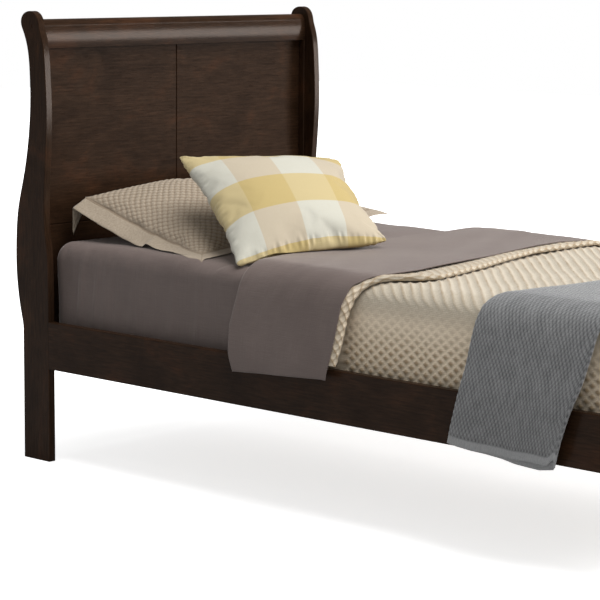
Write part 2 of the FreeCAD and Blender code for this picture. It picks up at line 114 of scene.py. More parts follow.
def bump(x, centre, width):
    return np.exp(-(((np.asarray(x, float) - centre) / width) ** 2))


def curve_through(points, steps=24):
    """A smooth line through the points."""
    p = np.array(points, float)
    q = np.vstack([2 * p[0] - p[1], p, 2 * p[-1] - p[-2]])
    t = np.linspace(0, 1, steps, endpoint=False)[:, None]
    out = []
    for a, b, c, d in zip(q, q[1:], q[2:], q[3:]):
        out.append(b + (c - a) * t / 2 + (a - 2.5 * b + 2 * c - d / 2) * t**2
                   + (1.5 * (b - c) + (d - a) / 2) * t**3)
    return np.vstack(out + [p[-1:]])


def read(table, at):
    """A line of (place, value) points, read at the given places."""
    return np.interp(at, *np.transpose(table))


class Way:
    """Half a line across the bed, from the centre line to below the hem."""

    def __init__(self, half):
        line = curve_through(half)
        self.s = np.r_[0, np.cumsum(np.linalg.norm(np.diff(line, axis=0), axis=1))]
        self.x, self.z = line[:, 0], line[:, 1]
        tangent = np.gradient(line, self.s, axis=0)
        tangent /= np.linalg.norm(tangent, axis=1)[:, None]
        self.nx, self.nz = -tangent[:, 1], tangent[:, 0]

    def at(self, s):
        """x, z and the outward direction at signed distances from the centre line."""
        side, d = np.where(s < 0, -1.0, 1.0), np.abs(s)
        x, z, nx, nz = (np.interp(d, self.s, v) for v in (self.x, self.z, self.nx, self.nz))
        return side * x, z, side * nx, nz

    def to_height(self, z):
        """How far from the centre line the way comes down to that height."""
        return np.interp(-np.asarray(z, float), -self.z, self.s)


tucked, hanging = Way(TUCKED), Way(HANGING)


def place(name, data):
    o = bpy.data.objects.new(name, data)
    bpy.context.scene.collection.objects.link(o)
    return o


def new_object(name, mesh, body, material):
    o = place(name, mesh)
    mesh.materials.append(material)
    for p in mesh.polygons:
        p.use_smooth = True
    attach(o, body)
    return o


def raw_mesh(name, points, faces):
    mesh = bpy.data.meshes.new(name)
    mesh.from_pydata(np.asarray(points).tolist(), [], np.asarray(faces).tolist())
    return mesh


def corner_points(mesh):
    """The number of the point at each corner of each face."""
    index = np.zeros(len(mesh.loops), np.int32)
    mesh.loops.foreach_get("vertex_index", index)
    return index


def add_uv(mesh, uv):
    """Gives each corner its point's place on the flat cloth, in metres."""
    layer = mesh.uv_layers.new(name="cloth")
    layer.data.foreach_set("uv", np.asarray(uv, np.float32)[corner_points(mesh)].ravel())


def add_value(mesh, name, values):
    attribute = mesh.attributes.new(name, "FLOAT", "POINT")
    attribute.data.foreach_set("value", np.asarray(values, np.float32).ravel())


def grid_mesh(name, points, uv, values=None):
    """A mesh over a grid of points, facing the way that (second x first) axis turns."""
    n, m = points.shape[:2]
    k = np.arange(n * m).reshape(n, m)
    faces = np.stack([k[:-1, :-1], k[:-1, 1:], k[1:, 1:], k[1:, :-1]], -1).reshape(-1, 4)
    mesh = raw_mesh(name, points.reshape(-1, 3), faces)
    add_uv(mesh, uv.reshape(-1, 2))
    for key, v in (values or {}).items():
        add_value(mesh, key, v)
    return mesh


def grid_normals(points):
    """The direction that each point of a grid faces."""
    a, b = np.gradient(points, axis=0), np.gradient(points, axis=1)
    n = np.cross(b, a)
    return n / np.maximum(np.linalg.norm(n, axis=2), 1e-9)[..., None]


def apply_modifiers(o):
    graph = bpy.context.evaluated_depsgraph_get()
    mesh = bpy.data.meshes.new_from_object(o.evaluated_get(graph))
    old = o.data
    o.modifiers.clear()
    o.data = mesh
    mesh.name = old.name
    bpy.data.meshes.remove(old)


def thicken(o, thickness):
    m = o.modifiers.new("thickness", "SOLIDIFY")
    m.thickness, m.offset = thickness, 0
    apply_modifiers(o)


def read_floats(items, key, size):
    values = np.zeros(len(items) * size, np.float32)
    items.foreach_get(key, values)
    return values.reshape(-1, size).astype(float)


def mesh_points(mesh):
    return read_floats(mesh.vertices, "co", 3)


def set_points(mesh, points):
    mesh.vertices.foreach_set("co", np.asarray(points, np.float32).ravel())
    mesh.update()


def point_normals(mesh):
    return read_floats(mesh.vertices, "normal", 3)


def point_uv(mesh):
    """Each point's place on the flat cloth, from its corners."""
    out = np.zeros((len(mesh.vertices), 2))
    out[corner_points(mesh)] = read_floats(mesh.uv_layers["cloth"].data, "uv", 2)
    return out


# ---- materials
class Shader:
    """Builds a node material, one short call per node."""

    def __init__(self, name, **settings):
        self.material = bpy.data.materials.new(name)
        self.material.use_nodes = True
        self.nodes, self.links = self.material.node_tree.nodes, self.material.node_tree.links
        self.main = self.nodes["Principled BSDF"]
        for key, value in settings.items():
            self.main.inputs[key.replace("_", " ")].default_value = value

    def put(self, value, socket):
        if isinstance(value, bpy.types.NodeSocket):
            self.links.new(value, socket)
        elif value is not None:
            socket.default_value = value

    def node(self, kind, *values, **settings):
        n = self.nodes.new(kind)
        for key, value in settings.items():
            setattr(n, key, value)
        for i, value in enumerate(values):
            self.put(value, n.inputs[i])
        return n

    def math(self, operation, a, b=None, c=None, clamp=False):
        return self.node("ShaderNodeMath", a, b, c, operation=operation, use_clamp=clamp).outputs[0]

    def uv(self):
        return self.node("ShaderNodeUVMap", uv_map="cloth").outputs[0]

    def here(self):
        return self.node("ShaderNodeTexCoord").outputs["Object"]

    def scaled(self, vector, scale, turn=0.0):
        return self.node("ShaderNodeMapping", vector, None, (0, 0, turn), scale).outputs[0]

    def noise(self, vector, scale, detail=2.0, rough=0.5, distortion=0.0):
        n = self.node("ShaderNodeTexNoise")
        self.put(vector, n.inputs["Vector"])
        values = {"Scale": scale, "Detail": detail, "Roughness": rough, "Distortion": distortion}
        for key, value in values.items():
            n.inputs[key].default_value = value
        return n.outputs[0]

    def wave(self, vector, scale, axis, distortion):
        n = self.node("ShaderNodeTexWave", bands_direction=axis)
        self.put(vector, n.inputs["Vector"])
        values = {"Scale": scale, "Distortion": distortion, "Detail": 1, "Detail Scale": 1}
        for key, value in values.items():
            n.inputs[key].default_value = value
        return n.outputs["Fac"]

    def painted(self, name):
        """A value that the mesh carries at each point."""
        return self.node("ShaderNodeAttribute", attribute_name=name).outputs["Fac"]

    def mix(self, share, a, b, blend="MIX"):
        n = self.node("ShaderNodeMix", data_type="RGBA", blend_type=blend)
        self.put(share, n.inputs[0])
        self.put(a, n.inputs[6])
        self.put(b, n.inputs[7])
        return n.outputs[2]

    def ramp(self, value, *stops):
        n = self.node("ShaderNodeValToRGB", value)
        ramp = n.color_ramp
        while len(ramp.elements) < len(stops):
            ramp.elements.new(1.0)
        for element, (at, colour) in zip(ramp.elements, stops):
            element.position = at
            element.color = (*colour, 1)
        return n.outputs[0]

    def between(self, value, low, high, to_low=0.0, to_high=1.0):
        n = self.node("ShaderNodeMapRange", value, low, high, to_low, to_high)
        return n.outputs[0]

    def bumps(self, *layers):
        """Layers of (height, distance in metres)."""
        normal = None
        for height, distance in layers:
            n = self.node("ShaderNodeBump")
            self.put(height, n.inputs["Height"])
            n.inputs["Distance"].default_value = distance
            if normal is not None:
                self.put(normal, n.inputs["Normal"])
            normal = n.outputs[0]
        self.put(normal, self.main.inputs["Normal"])

    def finish(self, colour, roughness=None):
        self.put(colour, self.main.inputs["Base Color"])
        if roughness is not None:
            self.put(roughness, self.main.inputs["Roughness"])
        return self.material


def stained_wood(name, grain, coat=0.28, coat_rough=0.21):
    """Dark cappuccino stain under satin lacquer; grain is the axis that it runs along."""
    s = Shader(name, Coat_Weight=coat, Coat_Roughness=coat_rough, Coat_IOR=1.40, Specular_IOR_Level=0.02)
    here = s.here()
    along = {"X": (1, 14, 14), "Y": (14, 1, 14), "Z": (14, 14, 1)}[grain]
    fine = s.noise(s.scaled(here, along), 16, 6, 0.62, 0.4)
    pores = s.noise(s.scaled(here, tuple(v * (1 if v == 1 else 2.4) for v in along)), 34, 3, 0.7)
    cloud = s.noise(s.scaled(here, tuple(1 if v == 1 else 1.7 for v in along)), 5.5, 5, 0.6, 0.8)
    grain_colour = s.ramp(fine, (0.25, (0.0185, 0.0092, 0.0050)), (0.5, (0.0310, 0.0158, 0.0086)),
                          (0.75, (0.045, 0.0228, 0.0122)))
    red = s.ramp(cloud, (0.30, (0.64, 0.62, 0.60)), (0.55, (1.0, 1.0, 1.0)), (0.72, (1.55, 1.30, 1.15)))
    colour = s.mix(1.0, grain_colour, red, "MULTIPLY")
    pore = s.between(pores, 0.30, 0.42)
    colour = s.mix(pore, s.mix(0.55, colour, (0.004, 0.0025, 0.002, 1)), colour)
    rough = s.between(fine, 0.3, 0.7, 0.46, 0.36)
    s.bumps((pore, 0.00025), (fine, 0.0004), (cloud, 0.0006))
    return s.finish(colour, rough)


def raw_wood(name, grain):
    """Planed softwood for the slats, with growth rings and a few knots."""
    s = Shader(name, Specular_IOR_Level=0.35)
    here = s.here()
    along = {"X": (0.7, 9, 9), "Y": (9, 0.7, 9)}[grain]
    rings = s.noise(s.scaled(here, along), 9, 4, 0.55, 1.2)
    fibre = s.noise(s.scaled(here, tuple(v * 4 for v in along)), 22, 2, 0.6)
    colour = s.ramp(rings, (0.3, (0.36, 0.215, 0.105)), (0.48, (0.56, 0.39, 0.215)),
                    (0.56, (0.42, 0.26, 0.13)), (0.75, (0.62, 0.45, 0.27)))
    colour = s.mix(s.between(fibre, 0.3, 0.7, 0.25, 0.0), colour, (0.30, 0.17, 0.08, 1))
    s.bumps((fibre, 0.0004), (rings, 0.0005))
    return s.finish(colour, s.between(fibre, 0.3, 0.7, 0.55, 0.72))


def zinc_steel(name):
    s = Shader(name, Metallic=1.0)
    here = s.here()
    patches = s.noise(here, 90, 5, 0.6, 0.5)
    brushed = s.noise(s.scaled(here, (40, 40, 400)), 3, 2)
    colour = s.ramp(patches, (0.3, (0.34, 0.33, 0.31)), (0.6, (0.55, 0.54, 0.51)), (0.8, (0.68, 0.66, 0.60)))
    s.bumps((brushed, 0.0002), (patches, 0.0003))
    return s.finish(colour, s.between(patches, 0.3, 0.8, 0.48, 0.26))


def woven(s, uv, pitch, uneven=0.25):
    """Plain weave: two sets of threads at that pitch, with uneven thickness."""
    turns = 1 / pitch / 20 * math.pi
    return s.math("MULTIPLY", s.wave(uv, turns, "X", uneven), s.wave(uv, turns, "Y", uneven))


def sateen(name):
    """Taupe sateen sheet: fine threads, slight slubs each way and a soft sheen."""
    s = Shader(name, Sheen_Weight=0.50, Sheen_Roughness=0.35, Specular_IOR_Level=0.30)
    s.main.inputs["Sheen Tint"].default_value = (0.92, 0.84, 0.80, 1)
    uv = s.uv()
    slub_a = s.noise(s.scaled(uv, (420, 14, 1)), 1, 3, 0.6)
    slub_b = s.noise(s.scaled(uv, (14, 420, 1)), 1, 3, 0.6)
    cloud = s.noise(s.scaled(uv, (5, 5, 1)), 1, 4, 0.55)
    weave = woven(s, uv, 0.0016)
    slub = s.math("ADD", slub_a, slub_b)
    colour = s.ramp(s.math("MULTIPLY_ADD", slub, 0.30, s.math("MULTIPLY", cloud, 0.45)),
                    (0.30, (0.118, 0.092, 0.084)), (0.52, (0.150, 0.117, 0.106)),
                    (0.75, (0.190, 0.150, 0.135)))
    s.bumps((weave, 0.00012), (slub, 0.0005), (cloud, 0.002))
    return s.finish(colour, s.between(slub, 0.7, 1.3, 0.50, 0.62))


def matelasse(name):
    """Cream quilted cotton: woven thread, with painted shade in the stitched hollows and painted light on
    its drop.
    """
    s = Shader(name, Sheen_Weight=0.25, Sheen_Roughness=0.5, Specular_IOR_Level=0.25)
    uv = s.uv()
    height = s.painted("relief")
    weave = woven(s, uv, 0.0022, 0.6)
    fluff = s.noise(s.scaled(uv, (260, 260, 1)), 1, 3, 0.65)
    cloud = s.noise(s.scaled(uv, (6, 6, 1)), 1, 3)
    base = s.ramp(fluff, (0.3, (0.45, 0.39, 0.30)), (0.5, (0.52, 0.46, 0.365)), (0.7, (0.58, 0.52, 0.425)))
    # Painted light: on the drop below the shoulder a much paler cream is mixed in, by the share that the
    # mesh carries.
    painted_drop_light = s.painted("painted_drop_light")
    base = s.mix(painted_drop_light, base, s.ramp(fluff, (0.3, (0.80, 0.67, 0.50)), (0.7, (0.92, 0.79, 0.62))))
    base = s.mix(s.between(cloud, 0.3, 0.7, 0.12, 0.0), base, (0.50, 0.40, 0.27, 1))
    # Painted shade: where the relief is low, in the stitched hollows, the colour is darkened toward brown.
    colour = s.mix(s.between(height, 0.12, 0.72, 0.05, 1.0), (0.34, 0.245, 0.145, 1), base)
    s.bumps((weave, 0.0003), (fluff, 0.0007))
    return s.finish(colour, s.between(weave, 0, 1, 0.92, 0.78))


def quilting(name):
    """Beige waffle quilting of the sham, and its plain flange."""
    s = Shader(name, Sheen_Weight=0.25, Sheen_Roughness=0.4, Specular_IOR_Level=0.3)
    uv = s.uv()
    height = s.painted("relief")
    weave = woven(s, uv, 0.0018)
    fluff = s.noise(s.scaled(uv, (200, 200, 1)), 1, 3, 0.6)
    base = s.ramp(fluff, (0.3, (0.30, 0.243, 0.182)), (0.55, (0.37, 0.305, 0.232)),
                  (0.75, (0.43, 0.36, 0.278)))
    # Painted shade: where the relief is low, in the waffle hollows, the sunk seam and the mitres, the colour
    # is darkened.
    colour = s.mix(s.between(height, 0.0, 0.7), (0.185, 0.135, 0.09, 1), base)
    s.bumps((weave, 0.0002), (fluff, 0.0005))
    return s.finish(colour, s.between(fluff, 0.3, 0.7, 0.72, 0.58))


def knit(name):
    """Grey knit of the throw: rows of small stitches, a plainer paler hem."""
    s = Shader(name, Sheen_Weight=0.50, Sheen_Roughness=0.45, Specular_IOR_Level=0.25)
    uv = s.uv()
    height = s.painted("relief")
    hem = s.painted("hem")
    fluff = s.noise(s.scaled(uv, (330, 330, 1)), 1, 4, 0.7)
    strand = s.noise(s.scaled(uv, (90, 420, 1)), 1, 3, 0.6)
    base = s.ramp(fluff, (0.3, (0.185, 0.187, 0.189)), (0.5, (0.250, 0.252, 0.254)),
                  (0.72, (0.335, 0.337, 0.339)))
    # Painted shade: where the relief is low, between the stitches, the grey is darkened almost to black.
    base = s.mix(s.between(height, 0.05, 0.75), (0.072, 0.074, 0.077, 1), base)
    colour = s.mix(hem, base, s.ramp(strand, (0.3, (0.27, 0.273, 0.276)), (0.7, (0.38, 0.383, 0.386))))
    s.bumps((strand, 0.0006), (fluff, 0.0008))
    return s.finish(colour, s.between(fluff, 0.3, 0.7, 0.88, 0.72))


def check_satin(name):
    """Yellow, cream and white satin checks: rows of yellow across columns of cream and white."""
    s = Shader(name, Sheen_Weight=0.2, Sheen_Roughness=0.3, Specular_IOR_Level=0.5)
    uv = s.uv()
    parts = s.node("ShaderNodeSeparateXYZ", uv).outputs

    def stripe(at, pitch, centre):
        turns = s.math("MULTIPLY", s.math("SUBTRACT", at, centre), 2 * math.pi / pitch)
        return s.math("GREATER_THAN", s.math("COSINE", turns), 0.0)

    cream, yellow = stripe(parts[0], *COLUMNS), stripe(parts[1], *ROWS)
    thread_a = s.noise(s.scaled(uv, (900, 30, 1)), 1, 2, 0.6)
    thread_b = s.noise(s.scaled(uv, (30, 900, 1)), 1, 2, 0.6)
    light = s.mix(cream, (0.55, 0.54, 0.47, 1), (0.515, 0.445, 0.34, 1))
    dark = s.mix(cream, (0.54, 0.44, 0.235, 1), (0.50, 0.385, 0.165, 1))
    colour = s.mix(yellow, light, dark)
    threads = s.math("ADD", thread_a, thread_b)
    colour = s.mix(s.between(threads, 0.7, 1.3, 0.14, 0.0), colour, (0.42, 0.33, 0.16, 1))
    s.bumps((thread_a, 0.0003), (thread_b, 0.0003))
    return s.finish(colour, s.between(thread_a, 0.3, 0.7, 0.40, 0.52))


def mattress_cover(name):
    s = Shader(name, Specular_IOR_Level=0.3, Sheen_Weight=0.2)
    here = s.here()
    knit_dots = s.node("ShaderNodeTexVoronoi", here, feature="DISTANCE_TO_EDGE")
    knit_dots.inputs["Scale"].default_value = 320
    dots = knit_dots.outputs["Distance"]
    cloud = s.noise(here, 9, 3)
    colour = s.ramp(cloud, (0.3, (0.66, 0.64, 0.59)), (0.7, (0.76, 0.745, 0.70)))
    # Painted shade: darker along the sunk edges of the knit cells.
    colour = s.mix(s.between(dots, 0.0, 0.12, 0.35, 0.0), colour, (0.44, 0.42, 0.38, 1))
    s.bumps((dots, 0.0008))
    return s.finish(colour, s.between(cloud, 0.3, 0.7, 0.8, 0.9))


WOOD = {g: stained_wood("dark_wood_" + g.lower(), g) for g in "XYZ"}
VENEER = stained_wood("dark_veneer", "X", 0.025, 0.34)
SLAT_WOOD = {g: raw_wood("slat_wood_" + g.lower(), g) for g in "XY"}
STEEL = zinc_steel("zinc_steel")
TAUPE, CREAM, BEIGE = sateen("taupe_sateen"), matelasse("cream_matelasse"), quilting("beige_quilting")
GREY, CHECK, TICKING = knit("grey_knit"), check_satin("yellow_check"), mattress_cover("ticking")


# The finish of a CAD node is that of the first of these words in its name, or else WOOD["X"].
FINISHES = (("hook", STEEL), ("screw", STEEL), ("slat_cleat", SLAT_WOOD["Y"]), ("slat_", SLAT_WOOD["X"]),
            ("side_rail", WOOD["Y"]), ("post", WOOD["Z"]), ("batten", WOOD["Z"]), ("plug", WOOD["Z"]),
            ("panel", VENEER), ("lower_rail", VENEER))
SOFT_NODES = ("mattress", "fitted_sheet", "coverlet", "top_sheet", "throw_blanket",
              "sham_pillow", "accent_pillow")
for node_name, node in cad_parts.items():
    if node_name not in SOFT_NODES:
        node.data.materials.clear()
        node.data.materials.append(next((m for word, m in FINISHES if word in node_name), WOOD["X"]))


# ---- mattress and fitted sheet
def rounded_box(xs, ys, zs, radius):
    """The skin of a box over these grid lines, with its edges rounded: points and faces."""
    low, high = np.array([xs[0], ys[0], zs[0]]), np.array([xs[-1], ys[-1], zs[-1]])
    points, faces, seen = [], [], {}

    def corner(x, y, z):
        key = (round(x, 5), round(y, 5), round(z, 5))
        if key not in seen:
            seen[key] = len(points)
            points.append((x, y, z))
        return seen[key]

    def side(first, second, put, flip):
        for a0, a1 in zip(first, first[1:]):
            for b0, b1 in zip(second, second[1:]):
                f = [corner(*put(a, b)) for a, b in ((a0, b0), (a1, b0), (a1, b1), (a0, b1))]
                faces.append(f[::-1] if flip else f)

    side(xs, ys, lambda a, b: (a, b, zs[-1]), False)
    side(xs, ys, lambda a, b: (a, b, zs[0]), True)
    side(ys, zs, lambda a, b: (xs[-1], a, b), False)
    side(ys, zs, lambda a, b: (xs[0], a, b), True)
    side(xs, zs, lambda a, b: (a, ys[0], b), False)
    side(xs, zs, lambda a, b: (a, ys[-1], b), True)
    p = np.array(points)
    inner = np.clip(p, low + radius, high - radius)
    out = p - inner
    length = np.linalg.norm(out, axis=1)
    p = inner + out / np.maximum(length, 1e-9)[:, None] * radius * (length > 1e-9)[:, None]
    return p, faces


def lines(start, end, step, edge=0.045, fine=0.006):
    """Grid lines from start to end, closer together near both ends."""
    low = np.arange(start, start + edge, fine)
    high = end - (low - start)
    middle = np.linspace(start + edge, end - edge, max(2, round((end - start - 2 * edge) / step)))
    return np.unique(np.round(np.r_[low, middle, high], 5))


def make_mattress():
    box_low, box_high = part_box("mattress")
    xs = lines(box_low.x + 0.002, box_high.x - 0.002, 0.02)
    ys = lines(box_low.y + 0.002, box_high.y - 0.002, 0.02)
    zs = lines(box_low.z + 0.001, box_high.z - 0.002, 0.02)
    p, faces = rounded_box(xs, ys, zs, 0.043)
    middle = (box_low.z + box_high.z) / 2
    # Quilted top and bottom, and a border that is drawn in along its tape edges.
    flat = ease(np.abs(p[:, 2] - middle), 0.110, 0.124)
    quilt = np.sin(math.pi * (p[:, 0] + p[:, 1]) / 0.16) * np.sin(math.pi * (p[:, 0] - p[:, 1]) / 0.16)
    p[:, 2] -= np.sign(p[:, 2] - middle) * flat * 0.004 * (1 - np.sqrt(np.abs(quilt)))
    tape = bump(np.abs(p[:, 2] - middle), 0.100, 0.006)
    for axis, centre in ((0, 0.0), (1, (box_low.y + box_high.y) / 2)):
        p[:, axis] -= np.sign(p[:, axis] - centre) * tape * 0.002 * (np.abs(p[:, axis] - centre) > 0.44)
    o = new_object("mattress_pad", raw_mesh("mattress_pad", p, faces), "mattress_set", TICKING)
    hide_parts("mattress")


def make_fitted_sheet():
    ys = np.unique(np.round(np.r_[lines(SHEET_ENDS[0], 0.20, 0.03)[:-8], np.arange(0.20, 0.914, 0.005),
                                  lines(0.80, SHEET_ENDS[1], 0.02)[-10:]], 5))
    xs = lines(-SHEET_SIDE, SHEET_SIDE, 0.012)
    zs = lines(MATTRESS_BOTTOM - 0.002, SHEET_TOP, 0.010)
    p, faces = rounded_box(xs, ys, zs, 0.043)
    x, y, z = p.T
    # The underside is open inside the elastic.
    under = np.minimum(SHEET_SIDE - np.abs(x), np.minimum(y - SHEET_ENDS[0], SHEET_ENDS[1] - y))
    open_point = (z < MATTRESS_BOTTOM + 0.001) & (under > 0.075)
    faces = [f for f in faces if not all(open_point[i] for i in f)]
    near = 1 - ease(x, -0.50, -0.44)
    side = ease(np.abs(x), 0.47, 0.495) * ease(z, MATTRESS_BOTTOM, 0.40)
    head = ease(y, 0.20, 0.34)
    # Fine upright gathers on the sides, drawn in from the corner, and shallow pulls across the top.
    lean = y + 0.10 * (z - 0.45)
    gather = noise(lean / 0.018, z / 0.16, 3) * 0.0036 + noise(lean / 0.034, z / 0.20, 4) * 0.0050
    gather = np.maximum(gather, -0.0022)
    strength = side * head * (0.35 + 0.65 * ease(y, 0.45, 0.92))
    x = x + np.sign(x) * gather * strength
    top = ease(z, 0.545, 0.583)
    pull = noise((y + 0.5 * x) / 0.09, (x - 0.3 * y) / 0.30, 5) * 0.0022 * ease(y, 0.22, 0.32)
    crease = noise((x + 0.9 * y) / 0.030, (y - x) / 0.22, 6) * 0.0085 * bump(y, 0.35, 0.12)
    plump = PLUMP * ease(y, 0.30, 0.55)
    crease = np.maximum(crease, -0.003)
    z = z + top * (pull + crease * near + plump + 0.0015 * (1 - (x / 0.5) ** 2))
    mesh = raw_mesh("sheet_fitted", np.stack([x, y, z], 1), faces)
    add_uv(mesh, np.stack([x + np.sign(x) * (SHEET_TOP - z), y], 1))
    bm = bmesh.new()
    bm.from_mesh(mesh)
    bmesh.ops.delete(bm, geom=[v for v in bm.verts if not v.link_faces], context="VERTS")
    bm.to_mesh(mesh)
    bm.free()
    o = new_object("sheet_fitted", mesh, "mattress_set", TAUPE)
    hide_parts("fitted_sheet")


# ---- cloths laid across the bed
def lay(rows, across, hang, out, hem, along_y):
    """Points of a cloth: rows along the bed, across from -1 to 1.

    hang is 0 where it is tucked inside the rails and 1 where it hangs outside, out is
    how far it stands off, hem the height that it reaches, and along_y its y at each point.
    """
    n, m = len(rows), len(across)
    points, normal, distance = np.zeros((n, m, 3)), np.zeros((n, m, 3)), np.zeros((n, m))
    for i in range(n):
        hem_i = np.broadcast_to(hem[i], (m,))
        reach = (1 - hang[i]) * tucked.to_height(hem_i) + hang[i] * hanging.to_height(hem_i)
        s = across * reach
        a, b = tucked.at(s), hanging.at(s)
        x, z, nx, nz = ((1 - hang[i]) * u + hang[i] * v for u, v in zip(a, b))
        size = np.hypot(nx, nz)
        normal[i] = np.stack([nx / size, np.zeros(m), nz / size], 1)
        points[i] = np.stack([x, along_y[i], z], 1) + out[i][:, None] * normal[i]
        distance[i] = s
    return points, normal, distance


def cloth_uv(distance, line):
    """Places on the flat cloth: across it, and along a line of its points."""
    along = np.r_[0, np.cumsum(np.linalg.norm(np.diff(line, axis=0), axis=1))]
    return np.stack([distance, np.repeat(along[:, None], distance.shape[1], axis=1)], -1)


def half_turn(y, low, high, side, steps=8, extra=()):
    """Rows of a fold at y from one height to the other, bulging to the side (+1 or -1)."""
    t = np.linspace(-math.pi / 2, math.pi / 2, steps)
    radius, middle = (high - low) / 2, (high + low) / 2
    return [(y + side * abs(radius) * math.cos(a), middle + radius * math.sin(a), *extra) for a in t]


def close_foot(points, amount, depth=0.62):
    """Tucks the rows past the foot end down and in behind the mattress."""
    centre_z = 0.328
    points[..., 0] *= 1 - 0.50 * amount
    points[..., 2] = centre_z + (points[..., 2] - centre_z) * (1 - depth * amount)


def make_coverlet():
    step_y = PUFF[0] / 8
    steps = np.r_[0, np.full(int(0.500 / PUFF[1] * 8), PUFF[1] / 8), np.full(100, PUFF[2] / 8)]
    ladder = np.cumsum(steps)
    half = int(np.searchsorted(ladder, float(tucked.to_height(COVER_HEM)))) // 8 * 8
    ladder = ladder[: half + 1] / ladder[half]
    across = np.r_[-ladder[:0:-1], ladder]
    # Stations from the rolled edge under the flap, to the head-end fold, and back to the foot.
    # Each row holds y, how far it stands off, and how far it hangs outside the rails.
    fold_y = 0.236
    roll = [(EDGE_Y + 0.012, COVER_FOLD - 0.0050, 1.0)]
    roll += half_turn(EDGE_Y, COVER_FOLD - 0.0055, COVER_FOLD + 0.0055, -1, 11, (1.0,))
    band = [(EDGE_Y + d, COVER_FOLD + 0.0055 - 0.09 * max(d - 0.03, 0), 1.0)
            for d in np.arange(step_y, 0.090, step_y)]
    hidden = [(y, COVER_FOLD - 0.001, 1.0) for y in np.linspace(EDGE_Y + 0.105, fold_y, 16)]
    turn = half_turn(fold_y, COVER_FOLD - 0.001, 0.0, 1, 7, (1.0,))
    back = [(y, 0.0, h) for y, h in zip(np.linspace(fold_y - 0.01, EDGE_Y + 0.09, 16),
                                        np.r_[np.linspace(1.0, 0.0, 8), np.zeros(8)])]
    main = [(y, 0.0, 0.0) for y in np.arange(EDGE_Y + 0.075, FOOT_END, -step_y)]
    end = [(FOOT_END - 0.004 * k, 0.0, 0.0) for k in range(0, 3)] + [(FOOT_END - 0.012, 0.0, 0.0)] * 24
    rows = np.array(roll + band + hidden + turn + back + main + end, float)
    n, m = len(rows), len(across)
    y0, out, hang = rows.T
    tuck = np.zeros((n, 1))
    tuck[-26:, 0] = np.linspace(0.01, 1, 26)
    hem = COVER_HEM + 0.070 * hang
    shown = len(roll + band)
    past_turn = shown + len(hidden + turn)
    first_main = past_turn + len(back)
    turned = np.zeros((n, 1))
    turned[:past_turn] = 1
    # The rolled edge wanders: closest to the head on the near side.
    q = across[None, :] * float(tucked.to_height(0.345))
    wander = (band_edge(q) - EDGE_Y) * (1 - ease(y0, -0.08, 0.20))[:, None] * turned
    y = y0[:, None] + wander
    points, _, distance = lay(rows, across, hang, np.repeat(out[:, None], m, axis=1), hem, y)
    close_foot(points, tuck, 0.95)
    # Quilting: every row and column meets the stitched lines of the diamonds.
    row_number = np.zeros(n)
    row_number[:shown] = np.arange(shown)
    row_number[first_main:] = np.arange(n - first_main) + 3
    i, j = np.meshgrid(row_number, np.arange(-half, half + 1), indexing="ij")
    u, v = math.pi * (i + j) / 8, math.pi * (i - j) / 8
    # On top the diamonds run together in ribs; the drop shows a net of thin ridges, faint at the shoulder.
    u += 0.35 * noise(points[..., 1] / 0.06, q / 0.06, 12)
    v += 0.35 * noise(points[..., 1] / 0.06, q / 0.06, 13)
    on_top = 1 - ease(np.abs(q), 0.455, 0.530)
    ribs = np.abs(np.sin(u)) ** 0.55 * (0.88 + 0.12 * np.abs(np.sin(v)))
    net = (1 - np.minimum(np.abs(np.sin(u)), np.abs(np.sin(v)))) ** 1.15
    clear = 0.15 + 0.85 * ease(np.abs(q), 0.530, 0.640)
    puff = on_top * ribs + (1 - on_top) * (0.70 + (net - 0.70) * clear)
    nubs = np.abs(np.sin(u) * np.sin(v)) ** 0.6
    puff = np.where(turned > 0, nubs, puff)
    quilted = np.zeros((n, 1))
    quilted[:shown] = 1
    quilted[first_main:] = 1
    outward = grid_normals(points) * np.where(turned > 0, -1.0, 1.0)[..., None]
    height = PUFF_HIGH * quilted * (1 - 0.4 * turned) * (1 - tuck * 0.7)
    loose = noise(points[..., 1] / 0.13, q / 0.16, 11) * 0.0022 * quilted * (1 - turned)
    points = points + outward * (height * (puff - 0.5) + loose)[..., None]
    uv = cloth_uv(distance, points[:, m // 2])
    # The relief also sets the painted shade in the stitched hollows.
    relief = np.where(quilted > 0, puff, 0.6)
    # Painted light on the drop: none on the top, most just below the shoulder, less further down.
    drop_light_share = ease(np.abs(q), 0.50, 0.56) * (1 - 0.6 * ease(np.abs(q), 0.60, 0.76)) * np.ones((n, 1))
    mesh = grid_mesh("coverlet_quilted", points, uv, {"relief": relief, "painted_drop_light": drop_light_share})
    o = new_object("coverlet_quilted", mesh, "mattress_set", CREAM)
    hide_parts("coverlet")


def band_edge(q):
    """y of the coverlet's turned-back rolled edge, by distance from the centre line."""
    edge = read(BAND_EDGE, q)
    return np.minimum(edge, flap_edges(q)[1] - 0.016)


def flap_edges(q):
    """y of the flap's head-end fold and of its free edge, by distance from the centre line."""
    return read(FLAP_HEAD, q), read(FLAP_FREE, q)


